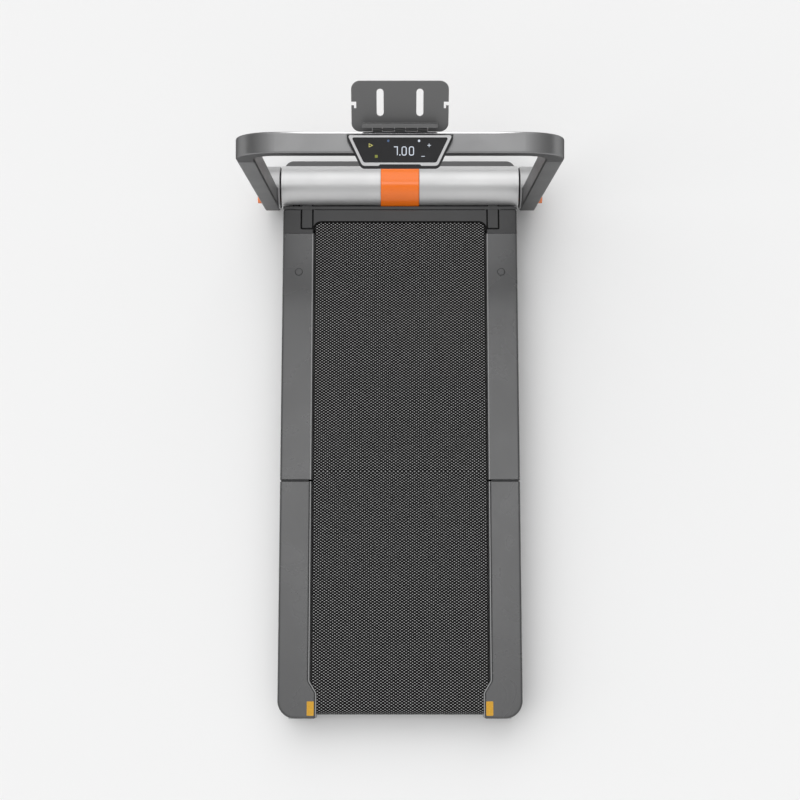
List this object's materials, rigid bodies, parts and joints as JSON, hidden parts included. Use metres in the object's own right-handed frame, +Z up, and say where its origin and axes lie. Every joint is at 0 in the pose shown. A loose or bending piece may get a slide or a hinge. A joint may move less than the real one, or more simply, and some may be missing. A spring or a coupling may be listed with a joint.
{
  "type": "walking pad",
  "caption": "Low folding treadmill deck with a textured running belt, a cylindrical motor housing at the front and a folding handrail that carries a speed console and a tablet holder.",
  "frame": {"origin": "on the floor under the middle of the whole pad's box", "axes": "+Y towards the motor housing at the front, +X to the walker's right, +Z up"},
  "size_m": [0.7226, 1.405, 0.9411],
  "materials": {
    "rail_plastic": "fine moulded grain",
    "cover_plastic": "fine moulded grain",
    "tray_plastic": "coarse moulded grain",
    "belt_rubber": "diamond-textured running belt",
    "drive_rubber": "smooth",
    "foot_rubber": "matt",
    "wheel_rubber": "matt",
    "frame_steel": "black powder coat",
    "board_wood": "black film on fibreboard",
    "bright_steel": "ground",
    "housing_silver": "brushed along the length",
    "band_orange": "satin",
    "knob_orange": "satin",
    "upright_paint": "satin grey",
    "bar_paint": "satin metallic grey",
    "tablet_paint": "satin grey",
    "console_silver": "satin",
    "console_black": "fine moulded grain",
    "console_glass": "polished black",
    "circuit": "lacquered board",
    "inlet_plastic": "moulded"
  },
  "bodies": {
    "base": {"front_frame": "frame_steel", "front_deck_board": "board_wood", "front_belt": "belt_rubber", "front_left_rail": "rail_plastic", "front_right_rail": "rail_plastic", "front_cover": "cover_plastic", "front_tray": "tray_plastic", "front_feet": "foot_rubber", "rail_bumpers": "foot_rubber", "front_hinges": "frame_steel", "support_arms": "frame_steel", "left_motor_cover": "housing_silver", "right_motor_cover": "housing_silver", "centre_band": "band_orange", "cover_supports": "cover_plastic", "end_plates": "frame_steel", "handrail_axles": "bright_steel", "motor_body": "frame_steel", "drive_belt": "drive_rubber", "control_board": "circuit", "front_fairing": "cover_plastic", "power_inlet": "inlet_plastic", "front_roller_shaft": "bright_steel", "wheel_brackets": "frame_steel"},
    "rear_deck": {"rear_frame": "frame_steel", "rear_deck_board": "board_wood", "rear_belt": "belt_rubber", "rear_left_rail": "rail_plastic", "rear_right_rail": "rail_plastic", "rear_tray": "tray_plastic", "rear_feet": "foot_rubber", "rear_roller_shaft": "bright_steel", "tension_bolts": "bright_steel", "rear_hinges": "frame_steel"},
    "front_roller": {"front_roller": "bright_steel", "front_roller_bearings": "bright_steel", "roller_pulley": "bright_steel"},
    "rear_roller": {"rear_roller": "bright_steel", "rear_roller_bearings": "bright_steel"},
    "motor_rotor": {"motor_shaft": "bright_steel", "motor_pulley": "bright_steel"},
    "front_idler": {"front_idler": "bright_steel"},
    "rear_idler": {"rear_idler": "bright_steel"},
    "left_wheel": {"left_wheel": "wheel_rubber"},
    "right_wheel": {"right_wheel": "wheel_rubber"},
    "power_switch": {"power_switch": "inlet_plastic"},
    "handrail": {"handrail_hubs": "housing_silver", "left_upright": "upright_paint", "right_upright": "upright_paint", "upright_end_caps": "cover_plastic", "top_rail": "bar_paint", "rail_spigots": "cover_plastic", "console_housing": "console_black", "console_frame": "console_silver", "console_glass": "console_glass", "console_board": "circuit", "tablet_bracket": "frame_steel"},
    "tablet": {"tablet_plate": "tablet_paint"},
    "left_lock": {"left_lock_knob": "knob_orange"},
    "right_lock": {"right_lock_knob": "knob_orange"}
  },
  "joints": [
    {"name": "deck_fold", "type": "hinge", "parent": "base", "child": "rear_deck", "pos_m": [0, -0.1275, 0.1006], "axis": [-1, 0, 0], "range_deg": [0, 180]},
    {"name": "handrail_fold", "type": "hinge", "parent": "base", "child": "handrail", "pos_m": [0, 0.6245, 0.082], "axis": [1, 0, 0], "range_deg": [0, 70]},
    {"name": "tablet_tilt", "type": "hinge", "parent": "handrail", "child": "tablet", "pos_m": [0, 0.50536, 0.87308], "axis": [1, 0, 0], "range_deg": [-30, 25]},
    {"name": "left_lock_pull", "type": "slide", "parent": "handrail", "child": "left_lock", "axis": [-1, 0, 0], "range_m": [0, 0.007], "stiffness_N_per_m": 500, "springref_m": -0.002},
    {"name": "right_lock_pull", "type": "slide", "parent": "handrail", "child": "right_lock", "axis": [1, 0, 0], "range_m": [0, 0.007], "stiffness_N_per_m": 500, "springref_m": -0.002},
    {"name": "front_roller_spin", "type": "hinge", "parent": "base", "child": "front_roller", "pos_m": [0, 0.5405, 0.0727], "axis": [1, 0, 0], "continuous": true},
    {"name": "rear_roller_spin", "type": "hinge", "parent": "rear_deck", "child": "rear_roller", "pos_m": [0, -0.6707, 0.0747], "axis": [1, 0, 0], "continuous": true},
    {"name": "motor_spin", "type": "hinge", "parent": "base", "child": "motor_rotor", "pos_m": [0, 0.6295, 0.084], "axis": [1, 0, 0], "continuous": true},
    {"name": "front_idler_spin", "type": "hinge", "parent": "base", "child": "front_idler", "pos_m": [0, -0.0825, 0.0587], "axis": [1, 0, 0], "continuous": true},
    {"name": "rear_idler_spin", "type": "hinge", "parent": "rear_deck", "child": "rear_idler", "pos_m": [0, -0.1725, 0.0587], "axis": [1, 0, 0], "continuous": true},
    {"name": "left_wheel_spin", "type": "hinge", "parent": "base", "child": "left_wheel", "pos_m": [-0.245, 0.6705, 0.024], "axis": [1, 0, 0], "continuous": true},
    {"name": "right_wheel_spin", "type": "hinge", "parent": "base", "child": "right_wheel", "pos_m": [0.245, 0.6705, 0.024], "axis": [1, 0, 0], "continuous": true},
    {"name": "power_rocker", "type": "hinge", "parent": "base", "child": "power_switch", "pos_m": [0.21, 0.695, 0.044], "axis": [1, 0, 0], "range_deg": [-16, 0]}
  ],
  "couplings": [
    {"joint": "rear_roller_spin", "follows": "front_roller_spin", "ratio": 1.1},
    {"joint": "motor_spin", "follows": "front_roller_spin", "ratio": 2.2222},
    {"joint": "front_idler_spin", "follows": "front_roller_spin", "ratio": -2.4444},
    {"joint": "rear_idler_spin", "follows": "front_roller_spin", "ratio": -2.4444}
  ]
}
